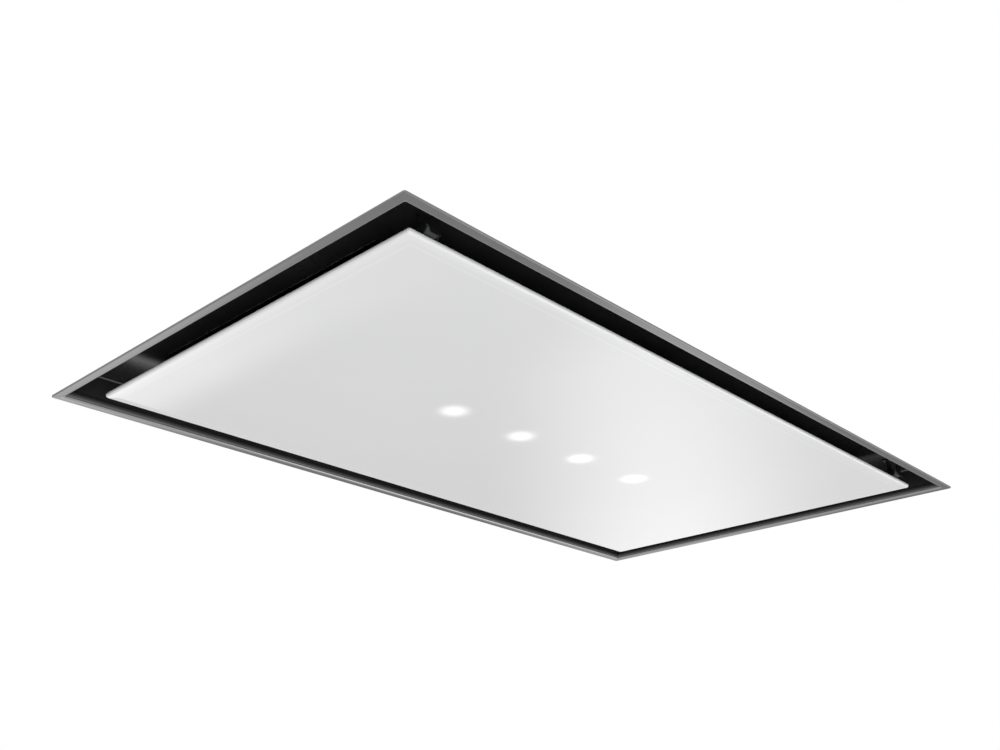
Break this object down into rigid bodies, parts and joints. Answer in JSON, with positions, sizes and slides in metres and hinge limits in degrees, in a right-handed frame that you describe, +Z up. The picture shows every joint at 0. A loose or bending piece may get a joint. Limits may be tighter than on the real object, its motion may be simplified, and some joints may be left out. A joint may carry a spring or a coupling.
{
  "type": "ceiling range hood",
  "caption": "Flush ceiling range hood: slim steel trim, hinged white glass panel in a black recess, metal filters, vertical centrifugal blower and a round side duct collar with flaps.",
  "frame": {"origin": "centre of the visible underside, in the plane of the trim's lower face", "axes": "+X along the long side, -Y towards the front edge with the catches, +Y towards the panel's hinges, +Z up into the ceiling"},
  "size_m": [0.9, 0.5, 0.299],
  "materials": {
    "brushed_trim": "satin brushed stainless steel",
    "galvanised": "galvanised sheet steel with a faint spangle",
    "gloss_black": "gloss black powder coat on sheet steel",
    "white_glass": "polished glass, printed white on its back, with seamed edges",
    "foam": "closed-cell foam strip",
    "lens": "moulded diffusing lens",
    "aluminium": "plain aluminium",
    "zinc": "bright zinc plate",
    "black_plastic": "flame-retardant moulded plastic",
    "grey_plastic": "moulded plastic",
    "circuit_board": "glass-fibre board with solder mask",
    "green_plastic": "moulded plastic",
    "grey_lead": "matt lead sheath",
    "rubber": "matt rubber"
  },
  "bodies": {
    "casing": {"casing_shell": "galvanised", "trim_frame": "brushed_trim", "ceiling_seal": "foam", "recess_tray": "gloss_black", "hanger_front_right": "zinc", "hanger_back_right": "zinc", "hanger_front_left": "zinc", "hanger_back_left": "zinc", "hinge_bracket_left": "zinc", "hinge_bracket_right": "zinc", "hinge_pin_left": "zinc", "hinge_pin_right": "zinc", "catch_clip_left": "zinc", "catch_clip_right": "zinc", "filter_frame_left": "brushed_trim", "filter_frame_right": "brushed_trim", "filter_core_left": "aluminium", "filter_core_right": "aluminium", "blower_box": "galvanised", "blower_lid": "galvanised", "scroll_lower": "black_plastic", "scroll_upper": "black_plastic", "inlet_ring": "black_plastic", "motor_stator": "aluminium", "duct_collar": "black_plastic", "flap_pin": "zinc", "electronics_box": "galvanised", "electronics_lid": "galvanised", "control_board": "circuit_board", "lamp_supply": "black_plastic", "terminal_block": "green_plastic", "cable_gland": "grey_plastic", "motor_lead": "grey_lead", "lamp_lead": "grey_lead", "grommet_electronics": "rubber", "grommet_blower": "rubber"},
    "panel": {"panel_glass": "white_glass", "panel_carrier": "gloss_black", "panel_cover": "gloss_black", "panel_loom": "grey_lead", "lamp_lens_1": "lens", "lamp_lens_2": "lens", "lamp_lens_3": "lens", "lamp_lens_4": "lens", "lamp_body_1": "aluminium", "lamp_body_2": "aluminium", "lamp_body_3": "aluminium", "lamp_body_4": "aluminium", "hinge_arm_left": "zinc", "hinge_arm_right": "zinc", "catch_bracket_left": "zinc", "catch_bracket_right": "zinc"},
    "wheel": {"impeller": "grey_plastic", "motor_rotor": "zinc"},
    "back_flap": {"flap_back": "grey_plastic"},
    "front_flap": {"flap_front": "grey_plastic"},
    "latch_left": {"filter_latch_left": "black_plastic"},
    "latch_right": {"filter_latch_right": "black_plastic"},
    "roller_left": {"catch_roller_left": "grey_plastic"},
    "roller_right": {"catch_roller_right": "grey_plastic"}
  },
  "joints": [
    {"name": "panel_hinge", "type": "hinge", "parent": "casing", "child": "panel", "pos_m": [0, 0.216, 0.016], "axis": [1, 0, 0], "range_deg": [0, 90]},
    {"name": "wheel_spin", "type": "hinge", "parent": "casing", "child": "wheel", "pos_m": [-0.038, 0.014, 0.19], "axis": [0, 0, 1], "continuous": true},
    {"name": "back_flap_hinge", "type": "hinge", "parent": "casing", "child": "back_flap", "pos_m": [0.168, -0.0835, 0.2055], "axis": [0, 0, -1], "range_deg": [0, 78], "stiffness_Nm_per_rad": 0.02},
    {"name": "front_flap_hinge", "type": "hinge", "parent": "casing", "child": "front_flap", "pos_m": [0.168, -0.0835, 0.2055], "axis": [0, 0, 1], "range_deg": [0, 78], "stiffness_Nm_per_rad": 0.02},
    {"name": "left_latch_slide", "type": "slide", "parent": "casing", "child": "latch_left", "axis": [0, 1, 0], "range_m": [0, 0.006], "stiffness_N_per_m": 400},
    {"name": "right_latch_slide", "type": "slide", "parent": "casing", "child": "latch_right", "axis": [0, 1, 0], "range_m": [0, 0.006], "stiffness_N_per_m": 400},
    {"name": "left_roller_spin", "type": "hinge", "parent": "panel", "child": "roller_left", "pos_m": [-0.388, -0.21, 0.0135], "axis": [1, 0, 0], "continuous": true},
    {"name": "right_roller_spin", "type": "hinge", "parent": "panel", "child": "roller_right", "pos_m": [0.388, -0.21, 0.0135], "axis": [1, 0, 0], "continuous": true}
  ]
}
